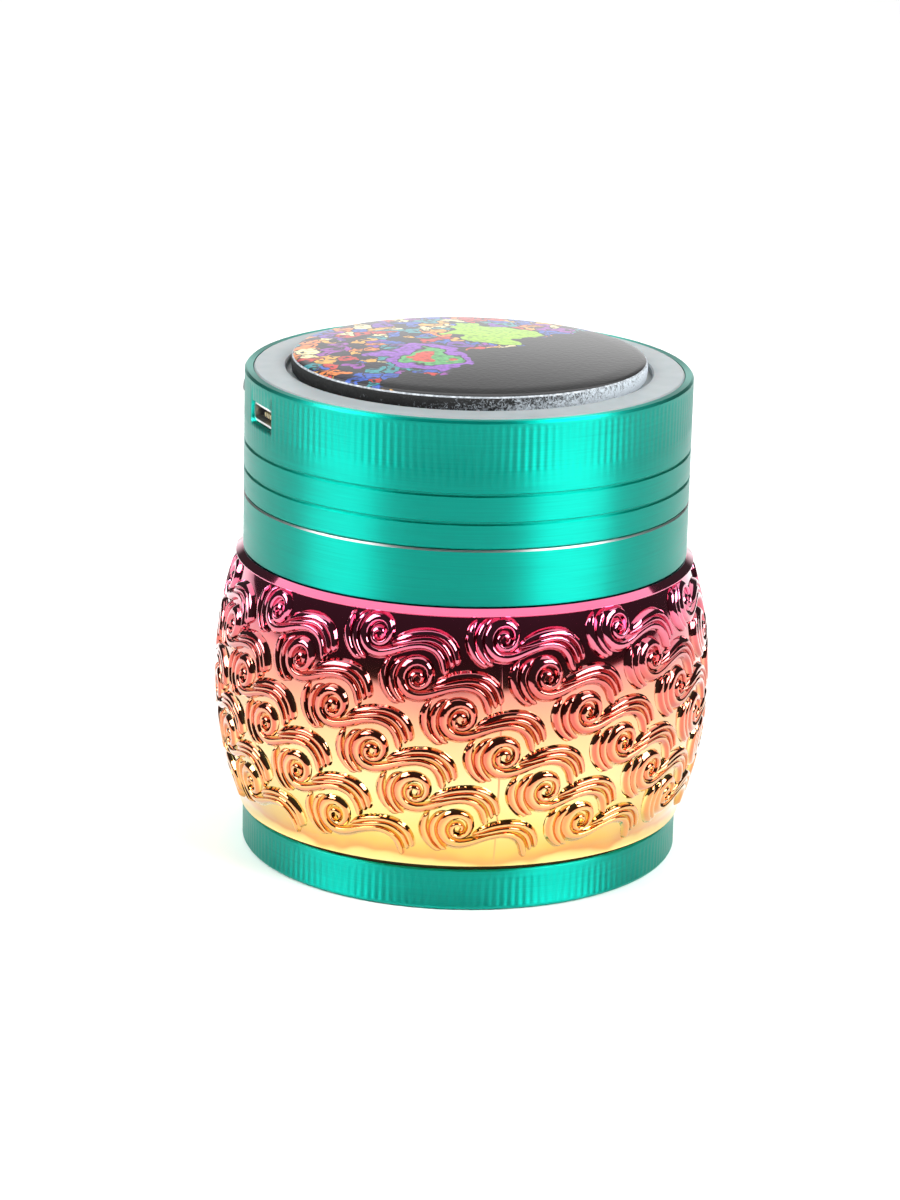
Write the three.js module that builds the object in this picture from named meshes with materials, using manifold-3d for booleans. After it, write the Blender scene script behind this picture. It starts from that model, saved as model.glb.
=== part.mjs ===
// Twist herb grinder, 63 mm, with a barrel-shaped storage jar and a light ring in its lid.
// From the table up: tray, jar with its sieve, grinding chamber, lid. The tray and the chamber
// screw into the jar; the lid sits on the chamber's collar and turns freely, held by two magnets.
// Millimetres, +Z up, origin on the table under the middle of the tray, front towards -Y.

import * as THREE from 'three';
import { mergeVertices } from 'three/addons/utils/BufferGeometryUtils.js';
import Module from 'manifold-3d';

const wasm = await Module();
wasm.setup();

// ---------------------------------------------------------------- driving dimensions

const SEGMENTS = 36;

// whole body
const BODY_RADIUS = 31.5;
const EDGE_BREAK = 0.3;

// tray
const TRAY_STEP = 0.27;
const TRAY_HEIGHT = 5.95;
const TRAY_FLOOR = 1.3;
const TRAY_FLUTES_LOW = 0.6;
const TRAY_FLUTES_HIGH = 4.7;

// grip bands, set in by half the depth of the fine flutes that are rolled into them
const FLUTE_DEPTH = 0.4;

// necks and their screw threads
const NECK_INSET = 3.7;
const NECK_WALL = 1.7;
const NECK_LENGTH = 4.8;
const THREAD_LEAD = 2;
const THREAD_DEPTH = 0.7;
const THREAD_ROOT_WIDTH = 1.1;
const THREAD_CREST_WIDTH = 0.5;
const THREAD_CLEARANCE = 0.25;
const THREAD_TURNS = 1.5;
const THREAD_LEAD_IN = 0.35;
const THREAD_BITE = 0.3;
const THREAD_END_DEPTH = 0.05;

// flat seals between the screwed joints
const SEAL_PROUD = 0.3;
const SEAL_SUNK = 0.5;
const SEAL_WIDTH = 1.5;
const SEAL_INSET = 0.75;
const SEAL_PLAY = 0.1;

// jar
const JAR_HEIGHT = 37.15;
const JAR_BULGE = 3.8;
const JAR_END_STEP = 0.25;
const JAR_WALL = 2.5;
const JAR_COLLAR = 5;
const BEAD_HEIGHT = 0.9;
const BEAD_STEP = 1;
const ARC_STEPS = 8;

// sieve
const LEDGE_WIDTH = 2.3;
const LEDGE_HEIGHT = 0.8;
const SIEVE_THICKNESS = 0.3;
const SIEVE_SEAT_STEP = 0.55;
const SIEVE_PLAY = 0.2;
const CLIP_WIDTH = 1.4;
const CLIP_HEIGHT = 1.2;
const CLIP_GAP = 5;

// grinding chamber
const CHAMBER_BAND = 7.9;
const DECK_THICKNESS = 2;
const DECK_LIFT = 1.3;
const COLLAR_WALL = 2;
const GRIND_HEIGHT = 13.3;
const HUB_RADIUS = 6;
const HUB_HEIGHT = 9;
const HUB_GAP = 0.8;
const DROP_HOLE_RADIUS = 2;
const DROP_HOLE_PITCH = 7.6;

// teeth
const TOOTH_RING_PITCH = 4;
const TOOTH_FIRST_RING = 4.4;
const TOOTH_SPACING = 11;
const TOOTH_LENGTH = 1.9;
const TOOTH_WIDTH = 1.5;
const TOOTH_TAPER = 0.8;
const TOOTH_TIP_GAP = 1.2;

// magnets
const MAGNET_RADIUS = 4;
const MAGNET_HEIGHT = 2.9;
const MAGNET_PLAY = 0.1;

// lid
const LID_GAP = 0.15;
const LID_HEIGHT = 17.63;
const LID_WALL = 2.25;
const LID_DECK = 1.7;
const SKIRT_CLEARANCE = 0.25;
const SLIP_RING_HEIGHT = 0.8;
const SLIP_RING_WIDTH = 1.3;
const SLIP_RING_PLAY = 0.2;
const POCKET_WALL = 2.5;
const LID_FLUTES_DOWN = 6.88;
const LID_FLUTES_UP = 0.78;
const LID_GROOVES_DOWN = [10.18, 14.08];
const GROOVE_WIDTH = 0.6;
const GROOVE_DEPTH = 0.35;

// light ring and picture disc
const RIM_WIDTH = 1.2;
const RING_PLAY = 0.1;
const RING_HEIGHT = 1.8;
const RING_PROUD = 0.12;
const RING_WEB = 0.9;
const RING_RECESS_RADIUS = 25.7;
const DISC_GAP = 0.7;
const DISC_HEIGHT = 2.7;
const DISC_DOME = 1.1;
const DISC_EDGE = 0.5;

// light circuit
const BOARD_THICKNESS = 1;
const BOARD_LIFT = 0.5;
const BOARD_INSET = 0.8;
const LED_COUNT = 7;
const LED_FIRST = -25;
const LED_STEP = 45;
const LED_SIZE = [2.8, 3.5, 1.9];
const LED_INSET = 2.4;
const CELL_SIZE = [22, 16, 3.6];
const CELL_CORNER = 1.5;
const SOLDER_GAP = 0.1;
const CHIP_SIZE = [4, 4, 1];
const CHIP_PLACE = [-6, 15];
const SCREW_COUNT = 3;
const SCREW_RING_RADIUS = 20.5;
const SCREW_FIRST = 42;
const SCREW_SHANK = 0.7;
const SCREW_HEAD = 1.4;
const SCREW_HEAD_HEIGHT = 0.7;
const SCREW_DEPTH = 1.4;
const BOSS_RADIUS = 1.8;
const HOLE_PLAY = 0.15;
const LEAD_RADIUS = 0.4;
const LEAD_REACH = 3;
const LEAD_SPREAD = 2;

// charging port in the lid's wall
const PORT_ANGLE = -65.7;
const PORT_RISE = 1.4;
const SOCKET_WIDTH = 7;
const SOCKET_HEIGHT = 2.6;
const SOCKET_DEPTH = 5.6;
const SOCKET_SKIN = 0.3;
const SOCKET_INSET = 0.6;
const SOCKET_CORNER = 0.7;
const PORT_PLAY = 0.3;
const TONGUE_WIDTH = 3.8;
const TONGUE_THICKNESS = 0.6;
const TONGUE_BACK = 1;
const TONGUE_SETBACK = 0.9;
const TONGUE_PLAY = 0.15;
const TONGUE_DROP = 0.3;

// light button in the lid's wall
const BUTTON_ANGLE = -99.5;
const BUTTON_RADIUS = 0.85;
const BUTTON_PROUD = 0.8;
const BUTTON_FLANGE_RADIUS = 1.3;
const BUTTON_FLANGE = 0.5;
const BUTTON_TRAVEL = 0.35;
const BUTTON_PLAY = 0.15;
const SWITCH_SIZE = [3, 4.4, 2.8];
const SWITCH_NUB = 0.5;
const BUTTON_SIDES = 16;

// ---------------------------------------------------------------- worked-out places

const trayTop = TRAY_HEIGHT;
const jarBottom = trayTop + SEAL_PROUD;
const jarTop = jarBottom + JAR_HEIGHT;
const chamberBottom = jarTop + SEAL_PROUD;
const chamberTop = chamberBottom + CHAMBER_BAND;
const deckTop = chamberBottom + DECK_LIFT + DECK_THICKNESS;
const lidBottom = chamberTop + LID_GAP;
const lidTop = lidBottom + LID_HEIGHT;
const lidDeckBottom = deckTop + GRIND_HEIGHT;
const pocketFloor = lidDeckBottom + LID_DECK;

const trayRadius = BODY_RADIUS - TRAY_STEP;
const neckCore = BODY_RADIUS - NECK_INSET;
const neckInner = neckCore - NECK_WALL;
const boreRadius = neckCore + THREAD_DEPTH + THREAD_CLEARANCE;
const sealOuter = BODY_RADIUS - SEAL_INSET;
const sealInner = sealOuter - SEAL_WIDTH;
const skirtInner = BODY_RADIUS - LID_WALL;
const collarOuter = skirtInner - SKIRT_CLEARANCE;
const collarInner = collarOuter - COLLAR_WALL;
const pocketRadius = BODY_RADIUS - POCKET_WALL;

const ledgeBottom = jarBottom + NECK_LENGTH + THREAD_CLEARANCE;
const sieveSeat = ledgeBottom + LEDGE_HEIGHT;
const seatRadius = boreRadius + SIEVE_SEAT_STEP;
const boardTop = pocketFloor + BOARD_LIFT + BOARD_THICKNESS;
const portHeight = boardTop + PORT_RISE;
const ringTop = lidTop + RING_PROUD;
const ringBottom = ringTop - RING_HEIGHT;
const discBottom = ringBottom + RING_WEB;

// ---------------------------------------------------------------- finishes

const finish = (color, metalness, roughness) =>
  new THREE.MeshStandardMaterial({ color, metalness, roughness });

const tealAnodised = finish(0x0e9486, 1, 0.28);
const platedZinc = finish(0xf0705a, 1, 0.12);
const steel = finish(0xb8bcc0, 1, 0.35);
const nickel = finish(0xc9cbce, 1, 0.2);
const nylon = finish(0xe8e8e4, 0, 0.5);
const silicone = finish(0x2a0a14, 0, 0.6);
const frosted = finish(0xaab6b8, 0, 0.45);
const padBlack = finish(0x1c1a20, 0, 0.5);
const boardGreen = finish(0x14532d, 0, 0.5);
const ledYellow = finish(0xf4e9a8, 0, 0.3);
const cellSilver = finish(0xc2c4c6, 0.6, 0.4);
const blackPlastic = finish(0x151515, 0, 0.45);
const redWire = finish(0xb3201c, 0, 0.5);
const blackWire = finish(0x191919, 0, 0.5);
const buttonGrey = finish(0x9aa0a0, 0, 0.4);

// ---------------------------------------------------------------- solids

// turns a closed geometry into a solid whose faces point outwards
function solid(geometry) {
  geometry.deleteAttribute('normal');
  geometry.deleteAttribute('uv');
  const merged = mergeVertices(geometry, 1e-4);
  const index = merged.index.array;
  const position = merged.attributes.position;
  const corner = [new THREE.Vector3(), new THREE.Vector3(), new THREE.Vector3()];
  const triangles = [];
  let volume = 0;
  for (let i = 0; i < index.length; i += 3) {
    const [a, b, c] = [index[i], index[i + 1], index[i + 2]];
    if (a === b || b === c || c === a) continue;
    corner[0].fromBufferAttribute(position, a);
    corner[1].fromBufferAttribute(position, b);
    corner[2].fromBufferAttribute(position, c);
    volume += corner[0].dot(corner[1].cross(corner[2]));
    triangles.push(a, b, c);
  }
  if (volume < 0) triangles.reverse();
  const triVerts = new Uint32Array(triangles);
  const vertProperties = new Float32Array(position.array);
  return new wasm.Manifold(new wasm.Mesh({ numProp: 3, vertProperties, triVerts }));
}

const join = (...solids) => solids.reduce((whole, next) => whole.add(next));
const cut = (body, ...tools) => tools.reduce((left, tool) => left.subtract(tool), body);

// a closed outline of [radius, height] points, turned about the Z axis
function turned(outline) {
  const points = outline.map(([radius, height]) => new THREE.Vector2(radius, height));
  points.push(points[0].clone());
  return solid(new THREE.LatheGeometry(points, SEGMENTS).rotateX(Math.PI / 2));
}

// a flat washer between two radii and two heights
function washer(inner, outer, low, high) {
  return turned([[inner, low], [outer, low], [outer, high], [inner, high]]);
}

function cylinder(radius, low, high, sides) {
  const geometry = new THREE.CylinderGeometry(radius, radius, high - low, sides);
  return geometry.rotateX(Math.PI / 2).translate(0, 0, (low + high) / 2);
}

// a rounded rectangle, length along X and width along Y, standing from low to high
function roundedBlock(length, width, corner, low, high) {
  const [x, y] = [length / 2, width / 2];
  const shape = new THREE.Shape();
  shape.moveTo(-x + corner, -y);
  shape.lineTo(x - corner, -y);
  shape.absarc(x - corner, -y + corner, corner, -Math.PI / 2, 0);
  shape.lineTo(x, y - corner);
  shape.absarc(x - corner, y - corner, corner, 0, Math.PI / 2);
  shape.lineTo(-x + corner, y);
  shape.absarc(-x + corner, y - corner, corner, Math.PI / 2, Math.PI);
  shape.lineTo(-x, -y + corner);
  shape.absarc(-x + corner, -y + corner, corner, Math.PI, Math.PI * 1.5);
  const settings = { depth: high - low, bevelEnabled: false, curveSegments: 3 };
  return new THREE.ExtrudeGeometry(shape, settings).translate(0, 0, low);
}

// a block on the line out through the wall: length along the line, then width, then height
function radialBlock([length, width, height], from, middle) {
  const geometry = new THREE.BoxGeometry(length, width, height);
  return geometry.translate(from + length / 2, 0, middle);
}

// one screw ridge: out is 1 on a neck and -1 in a bore, phase turns its start
function threadRidge(surface, out, middleLow, phase) {
  const root = THREAD_ROOT_WIDTH / 2;
  const crest = THREAD_CREST_WIDTH / 2;
  const shape = new THREE.Shape();
  shape.moveTo(-THREAD_BITE, -root);
  shape.lineTo(0, -root);
  shape.lineTo(THREAD_DEPTH, -crest);
  shape.lineTo(THREAD_DEPTH, crest);
  shape.lineTo(0, root);
  shape.lineTo(-THREAD_BITE, root);
  const steps = Math.round(THREAD_TURNS * SEGMENTS);
  const settings = { depth: THREAD_TURNS, steps, bevelEnabled: false };
  const geometry = new THREE.ExtrudeGeometry(shape, settings);
  const position = geometry.attributes.position;
  for (let i = 0; i < position.count; i += 1) {
    const turn = position.getZ(i);
    const reach = position.getX(i);
    const fade = Math.min(1, turn / THREAD_LEAD_IN, (THREAD_TURNS - turn) / THREAD_LEAD_IN);
    const depth = reach > 0 ? reach * Math.max(fade, THREAD_END_DEPTH) : reach;
    const radius = surface + out * depth;
    const angle = turn * Math.PI * 2 + phase;
    const height = middleLow + position.getY(i) + turn * THREAD_LEAD;
    position.setXYZ(i, radius * Math.cos(angle), radius * Math.sin(angle), height);
  }
  return solid(geometry);
}

// the threads start level with each other, half a turn apart, so the ridges interleave
const ridgeLift = (NECK_LENGTH - THREAD_TURNS * THREAD_LEAD) / 2;
const neckRidge = (low) => threadRidge(neckCore, 1, low + ridgeLift, 0);
const boreRidge = (low) => threadRidge(boreRadius, -1, low + ridgeLift, Math.PI);

// gives a solid its name and finish
function piece(name, body, material) {
  const mesh = body.getMesh();
  const geometry = new THREE.BufferGeometry();
  geometry.setAttribute('position', new THREE.BufferAttribute(mesh.vertProperties, 3));
  geometry.setIndex(new THREE.BufferAttribute(mesh.triVerts, 1));
  geometry.computeVertexNormals();
  const part = new THREE.Mesh(geometry, material);
  part.name = name;
  return part;
}

const facing = (angle) => THREE.MathUtils.degToRad(angle - 90);

// ---------------------------------------------------------------- tray

const trayNeckTop = jarBottom + NECK_LENGTH;

function trayBody() {
  const fluted = trayRadius - FLUTE_DEPTH / 2;
  const body = turned([
    [0, 0], [fluted - EDGE_BREAK, 0], [fluted, EDGE_BREAK], [fluted, TRAY_FLUTES_LOW / 2],
    [trayRadius, TRAY_FLUTES_LOW], [fluted, TRAY_FLUTES_LOW],
    [fluted, TRAY_FLUTES_HIGH], [trayRadius, TRAY_FLUTES_HIGH],
    [trayRadius, trayTop - EDGE_BREAK], [trayRadius - EDGE_BREAK / 2, trayTop],
    [sealOuter + SEAL_PLAY, trayTop], [sealOuter + SEAL_PLAY, trayTop - SEAL_SUNK],
    [sealInner - SEAL_PLAY, trayTop - SEAL_SUNK], [sealInner - SEAL_PLAY, trayTop],
    [neckCore, trayTop], [neckCore, trayNeckTop], [neckInner, trayNeckTop],
    [neckInner, TRAY_FLOOR + 1], [neckInner - 1, TRAY_FLOOR], [0, TRAY_FLOOR],
  ]);
  return join(body, neckRidge(jarBottom));
}

function seal(low) {
  return washer(sealInner, sealOuter, low, low + SEAL_SUNK + SEAL_PROUD);
}

// ---------------------------------------------------------------- jar and sieve

const barrelMiddle = jarBottom + JAR_HEIGHT / 2 + BEAD_HEIGHT / 2;
const barrelEnd = BODY_RADIUS + JAR_END_STEP;
const barrelHalf = barrelMiddle - jarBottom;
const barrelSag = BODY_RADIUS + JAR_BULGE - barrelEnd;
const barrelArc = (barrelHalf ** 2 + barrelSag ** 2) / (2 * barrelSag);

// the barrel's outside radius at a height
function barrelRadius(height) {
  const drop = barrelArc - Math.sqrt(barrelArc ** 2 - (height - barrelMiddle) ** 2);
  return BODY_RADIUS + JAR_BULGE - drop;
}

// points on the barrel, stepping from one height to another, set inwards by a wall
function barrelLine(from, to, inset) {
  const points = [];
  for (let i = 0; i <= ARC_STEPS; i += 1) {
    const height = from + ((to - from) * i) / ARC_STEPS;
    points.push([barrelRadius(height) - inset, height]);
  }
  return points;
}

function jarBody() {
  const beadLow = jarTop - BEAD_HEIGHT;
  const beadRadius = BODY_RADIUS + BEAD_STEP;
  const collarLow = jarTop - JAR_COLLAR;
  const shoulder = barrelRadius(collarLow) - JAR_WALL - boreRadius;
  const seatTop = sieveSeat + SIEVE_THICKNESS + CLIP_HEIGHT;
  const rise = barrelRadius(seatTop) - JAR_WALL - seatRadius;
  const body = turned([
    [boreRadius, jarBottom], ...barrelLine(jarBottom, beadLow - 0.1, 0),
    [beadRadius, beadLow + EDGE_BREAK], [beadRadius, jarTop - EDGE_BREAK],
    [beadRadius - EDGE_BREAK, jarTop],
    [sealOuter + SEAL_PLAY, jarTop], [sealOuter + SEAL_PLAY, jarTop - SEAL_SUNK],
    [sealInner - SEAL_PLAY, jarTop - SEAL_SUNK], [sealInner - SEAL_PLAY, jarTop],
    [boreRadius, jarTop], [boreRadius, collarLow],
    ...barrelLine(collarLow - shoulder, seatTop + rise, JAR_WALL),
    [seatRadius, seatTop], [seatRadius, sieveSeat],
    [boreRadius - LEDGE_WIDTH, sieveSeat], [boreRadius - LEDGE_WIDTH, ledgeBottom],
    [boreRadius, ledgeBottom],
  ]);
  return join(body, boreRidge(jarBottom), boreRidge(jarTop - NECK_LENGTH));
}

function sieve() {
  return washer(0, seatRadius - SIEVE_PLAY, sieveSeat, sieveSeat + SIEVE_THICKNESS);
}

// a spring clip that holds the sieve down, open at the back
function sieveClip() {
  const low = sieveSeat + SIEVE_THICKNESS;
  const outer = seatRadius - SIEVE_PLAY;
  const ring = washer(outer - CLIP_WIDTH, outer, low, low + CLIP_HEIGHT);
  const gap = new THREE.BoxGeometry(CLIP_GAP, CLIP_WIDTH * 4, CLIP_HEIGHT * 3);
  return cut(ring, solid(gap.translate(0, outer, low)));
}

// ---------------------------------------------------------------- teeth

// one ring of tapered diamond teeth, standing on a deck or hanging from it
function toothRing(radius, root, tip) {
  const count = Math.round((radius * Math.PI * 2) / TOOTH_SPACING / 2) * 2;
  const height = Math.abs(tip - root) + DECK_THICKNESS / 2;
  const base = root - (Math.sign(tip - root) * DECK_THICKNESS) / 2;
  const teeth = [];
  for (let i = 0; i < count; i += 1) {
    const tooth = new THREE.CylinderGeometry(TOOTH_TAPER, 1, height, 4);
    tooth.rotateX(Math.sign(tip - root) * (Math.PI / 2));
    tooth.scale(TOOTH_WIDTH, TOOTH_LENGTH, 1);
    tooth.translate(radius, 0, (base + tip) / 2);
    teeth.push(solid(tooth.rotateZ(((i + 0.5) * Math.PI * 2) / count)));
  }
  return teeth;
}

// rings that stand on the chamber's deck alternate with rings that hang from the lid
function toothRings(first, root, tip) {
  const teeth = [];
  const start = HUB_RADIUS + TOOTH_FIRST_RING + first * TOOTH_RING_PITCH;
  const last = collarInner - TOOTH_WIDTH * 2;
  for (let radius = start; radius < last; radius += TOOTH_RING_PITCH * 2) {
    teeth.push(...toothRing(radius, root, tip));
  }
  return teeth;
}

// ---------------------------------------------------------------- grinding chamber

const hubTop = deckTop + HUB_HEIGHT;
const magnetHole = MAGNET_RADIUS + MAGNET_PLAY;

// ground herb falls through rings of round holes under the lid's teeth
function dropHoles() {
  const holes = [];
  const start = HUB_RADIUS + TOOTH_FIRST_RING + TOOTH_RING_PITCH;
  const last = neckInner - DROP_HOLE_RADIUS - 1;
  for (let radius = start; radius < last; radius += TOOTH_RING_PITCH * 2) {
    const count = Math.floor((radius * Math.PI * 2) / DROP_HOLE_PITCH);
    for (let i = 0; i < count; i += 1) {
      const hole = cylinder(DROP_HOLE_RADIUS, chamberBottom, deckTop + 1, 10);
      hole.translate(radius, 0, 0).rotateZ((i * Math.PI * 2) / count);
      holes.push(solid(hole));
    }
  }
  return holes;
}

function chamberBody() {
  const deckBottom = chamberBottom + DECK_LIFT;
  const neckBottom = jarTop - NECK_LENGTH;
  const collarTop = lidDeckBottom - TOOTH_TIP_GAP;
  const body = turned([
    [0, deckBottom], [neckInner, deckBottom], [neckInner, neckBottom], [neckCore, neckBottom],
    [neckCore, chamberBottom], [BODY_RADIUS - EDGE_BREAK, chamberBottom],
    [BODY_RADIUS, chamberBottom + EDGE_BREAK], [BODY_RADIUS, chamberTop - EDGE_BREAK],
    [BODY_RADIUS - EDGE_BREAK, chamberTop], [collarOuter, chamberTop],
    [collarOuter, collarTop - EDGE_BREAK], [collarOuter - EDGE_BREAK, collarTop],
    [collarInner, collarTop], [collarInner, deckTop], [HUB_RADIUS, deckTop],
    [HUB_RADIUS, hubTop], [magnetHole, hubTop],
    [magnetHole, hubTop - MAGNET_HEIGHT - MAGNET_PLAY],
    [0, hubTop - MAGNET_HEIGHT - MAGNET_PLAY],
  ]);
  const teeth = toothRings(0, deckTop, lidDeckBottom - TOOTH_TIP_GAP);
  return cut(join(body, ...teeth, neckRidge(neckBottom)), ...dropHoles());
}

function chamberMagnet() {
  const low = hubTop - MAGNET_HEIGHT - MAGNET_PLAY;
  return solid(cylinder(MAGNET_RADIUS, low, low + MAGNET_HEIGHT, SEGMENTS / 2));
}

// ---------------------------------------------------------------- lid

const lidHubBottom = hubTop + HUB_GAP;
const slipRingInner = collarOuter + SKIRT_CLEARANCE;
const slipRingOuter = slipRingInner + SLIP_RING_WIDTH;
const rimInner = BODY_RADIUS - RIM_WIDTH;
const screwAngles = [];
for (let i = 0; i < SCREW_COUNT; i += 1) screwAngles.push(SCREW_FIRST + (i * 360) / SCREW_COUNT);

// the charging socket's outline, larger all round by a play, between two radii
function portBlock(play, from, to) {
  const [width, height] = [SOCKET_WIDTH + play * 2, SOCKET_HEIGHT + play * 2];
  const block = roundedBlock(height, width, SOCKET_CORNER + play, from, to);
  return block.rotateY(Math.PI / 2).translate(0, 0, portHeight);
}

function lidHoles() {
  const [inside, outside] = [pocketRadius - POCKET_WALL / 2, BODY_RADIUS + POCKET_WALL / 2];
  const port = portBlock(PORT_PLAY, inside, outside).rotateZ(facing(PORT_ANGLE));
  const button = cylinder(BUTTON_RADIUS + BUTTON_PLAY, inside, outside, BUTTON_SIDES);
  button.rotateY(Math.PI / 2).translate(0, 0, portHeight).rotateZ(facing(BUTTON_ANGLE));
  const screws = screwAngles.map((angle) => {
    const low = pocketFloor - SCREW_DEPTH + BOARD_LIFT;
    const hole = cylinder(SCREW_SHANK + HOLE_PLAY, low, boardTop, 10);
    return solid(hole.translate(SCREW_RING_RADIUS, 0, 0).rotateZ(facing(angle)));
  });
  return [solid(port), solid(button), ...screws];
}

function lidBody() {
  const fluted = BODY_RADIUS - FLUTE_DEPTH / 2;
  const flutesLow = lidTop - LID_FLUTES_DOWN;
  const flutesHigh = lidTop - LID_FLUTES_UP;
  const grooves = LID_GROOVES_DOWN.flatMap((down) => [
    [BODY_RADIUS, lidTop - down + GROOVE_WIDTH / 2], [BODY_RADIUS - GROOVE_DEPTH, lidTop - down],
    [BODY_RADIUS, lidTop - down - GROOVE_WIDTH / 2],
  ]);
  const slipTop = chamberTop + SLIP_RING_HEIGHT;
  const body = turned([
    [0, pocketFloor], [pocketRadius, pocketFloor], [pocketRadius, ringBottom],
    [rimInner, ringBottom], [rimInner, lidTop], [BODY_RADIUS - EDGE_BREAK, lidTop],
    [BODY_RADIUS, lidTop - EDGE_BREAK], [BODY_RADIUS, flutesHigh], [fluted, flutesHigh],
    [fluted, flutesLow], [BODY_RADIUS, flutesLow], ...grooves,
    [BODY_RADIUS, lidBottom + EDGE_BREAK], [BODY_RADIUS - EDGE_BREAK, lidBottom],
    [slipRingOuter + SLIP_RING_PLAY, lidBottom], [slipRingOuter + SLIP_RING_PLAY, slipTop],
    [skirtInner, slipTop], [skirtInner, lidDeckBottom], [HUB_RADIUS, lidDeckBottom],
    [HUB_RADIUS, lidHubBottom], [magnetHole, lidHubBottom],
    [magnetHole, lidHubBottom + MAGNET_HEIGHT + MAGNET_PLAY],
    [0, lidHubBottom + MAGNET_HEIGHT + MAGNET_PLAY],
  ]);
  const bosses = screwAngles.map((angle) => {
    const boss = cylinder(BOSS_RADIUS, pocketFloor - LID_DECK / 2, pocketFloor + BOARD_LIFT, 12);
    return solid(boss.translate(SCREW_RING_RADIUS, 0, 0).rotateZ(facing(angle)));
  });
  const teeth = toothRings(1, lidDeckBottom, deckTop + TOOTH_TIP_GAP);
  return cut(join(body, ...bosses, ...teeth), ...lidHoles());
}

function lidMagnet() {
  const high = lidHubBottom + MAGNET_HEIGHT + MAGNET_PLAY;
  return solid(cylinder(MAGNET_RADIUS, high - MAGNET_HEIGHT, high, SEGMENTS / 2));
}

// nylon ring that the lid turns on, carried in the skirt's lower edge
function slipRing() {
  return washer(slipRingInner, slipRingOuter, chamberTop, chamberTop + SLIP_RING_HEIGHT);
}

// frosted light guide: a raised ring round a thin web that the disc is glued to
function lightRing() {
  const outer = rimInner - RING_PLAY;
  return turned([
    [0, ringBottom], [outer, ringBottom], [outer, ringTop - EDGE_BREAK],
    [outer - EDGE_BREAK, ringTop], [RING_RECESS_RADIUS, ringTop],
    [RING_RECESS_RADIUS, discBottom], [0, discBottom],
  ]);
}

function pictureDisc() {
  const radius = RING_RECESS_RADIUS - DISC_GAP;
  const edgeTop = discBottom + DISC_HEIGHT;
  const flat = radius - DISC_EDGE;
  const crown = [0.75, 0.45, 0].map((share) => [
    flat * share, edgeTop + DISC_DOME * (1 - share ** 2),
  ]);
  return turned([
    [0, discBottom], [flat, discBottom], [radius, discBottom + DISC_EDGE],
    [radius, edgeTop - DISC_EDGE], [flat, edgeTop], ...crown,
  ]);
}

// ---------------------------------------------------------------- light circuit

function board() {
  const disc = cylinder(pocketRadius - BOARD_INSET, boardTop - BOARD_THICKNESS, boardTop, SEGMENTS);
  const holes = screwAngles.map((angle) => {
    const hole = cylinder(SCREW_SHANK + HOLE_PLAY, pocketFloor, boardTop + 1, 10);
    return solid(hole.translate(SCREW_RING_RADIUS, 0, 0).rotateZ(facing(angle)));
  });
  return cut(solid(disc), ...holes);
}

function boardScrew() {
  const shankLow = pocketFloor - SCREW_DEPTH + BOARD_LIFT + HOLE_PLAY;
  const head = cylinder(SCREW_HEAD, boardTop, boardTop + SCREW_HEAD_HEIGHT, 12);
  const shank = cylinder(SCREW_SHANK, shankLow, boardTop + SCREW_HEAD_HEIGHT / 2, 10);
  const slot = new THREE.BoxGeometry(SCREW_HEAD * 3, SCREW_SHANK / 2, SCREW_HEAD_HEIGHT);
  slot.translate(0, 0, boardTop + SCREW_HEAD_HEIGHT);
  return cut(join(solid(head), solid(shank)), solid(slot));
}

function led() {
  const [length, width, height] = LED_SIZE;
  const block = new THREE.BoxGeometry(length, width, height);
  return solid(block.translate(0, 0, boardTop + SOLDER_GAP + height / 2));
}

function cell() {
  const [length, width, height] = CELL_SIZE;
  const low = boardTop + SOLDER_GAP;
  return solid(roundedBlock(length, width, CELL_CORNER, low, low + height));
}

function chip() {
  const [length, width, height] = CHIP_SIZE;
  const block = new THREE.BoxGeometry(length, width, height);
  return solid(block.translate(0, 0, boardTop + SOLDER_GAP + height / 2));
}

// a short lead from the cell's end down to the board
function lead(side) {
  const start = CELL_SIZE[0] / 2 + SOLDER_GAP;
  const high = boardTop + SOLDER_GAP + CELL_SIZE[2] / 2;
  const low = boardTop + SOLDER_GAP;
  const route = new THREE.QuadraticBezierCurve3(
    new THREE.Vector3(start, side * LEAD_SPREAD, high),
    new THREE.Vector3(start + LEAD_REACH, side * LEAD_SPREAD, high),
    new THREE.Vector3(start + LEAD_REACH, side * LEAD_SPREAD, low),
  );
  const section = new THREE.Shape();
  for (let i = 0; i < 8; i += 1) {
    const angle = (i * Math.PI) / 4;
    const [x, y] = [LEAD_RADIUS * Math.cos(angle), LEAD_RADIUS * Math.sin(angle)];
    if (i === 0) section.moveTo(x, y);
    else section.lineTo(x, y);
  }
  const settings = { steps: 6, bevelEnabled: false, extrudePath: route };
  return solid(new THREE.ExtrudeGeometry(section, settings));
}

// ---------------------------------------------------------------- charging port

const socketFront = BODY_RADIUS - SOCKET_INSET;
const socketBack = socketFront - SOCKET_DEPTH;

function socketShell() {
  const outer = portBlock(0, socketBack, socketFront);
  const inner = portBlock(-SOCKET_SKIN, socketBack - TONGUE_BACK, socketFront + TONGUE_BACK);
  return cut(solid(outer), solid(inner));
}

function socketTongue() {
  const clear = (SOCKET_SKIN + TONGUE_PLAY) * 2;
  const back = [TONGUE_BACK, SOCKET_WIDTH - clear - SOCKET_CORNER, SOCKET_HEIGHT - clear];
  const length = SOCKET_DEPTH - TONGUE_SETBACK;
  const tongue = [length, TONGUE_WIDTH, TONGUE_THICKNESS];
  const low = portHeight - TONGUE_DROP;
  return join(
    solid(radialBlock(back, socketBack, portHeight)),
    solid(radialBlock(tongue, socketBack, low)),
  );
}

// ---------------------------------------------------------------- light button

const flangeInner = pocketRadius - SOLDER_GAP - BUTTON_FLANGE;

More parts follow.
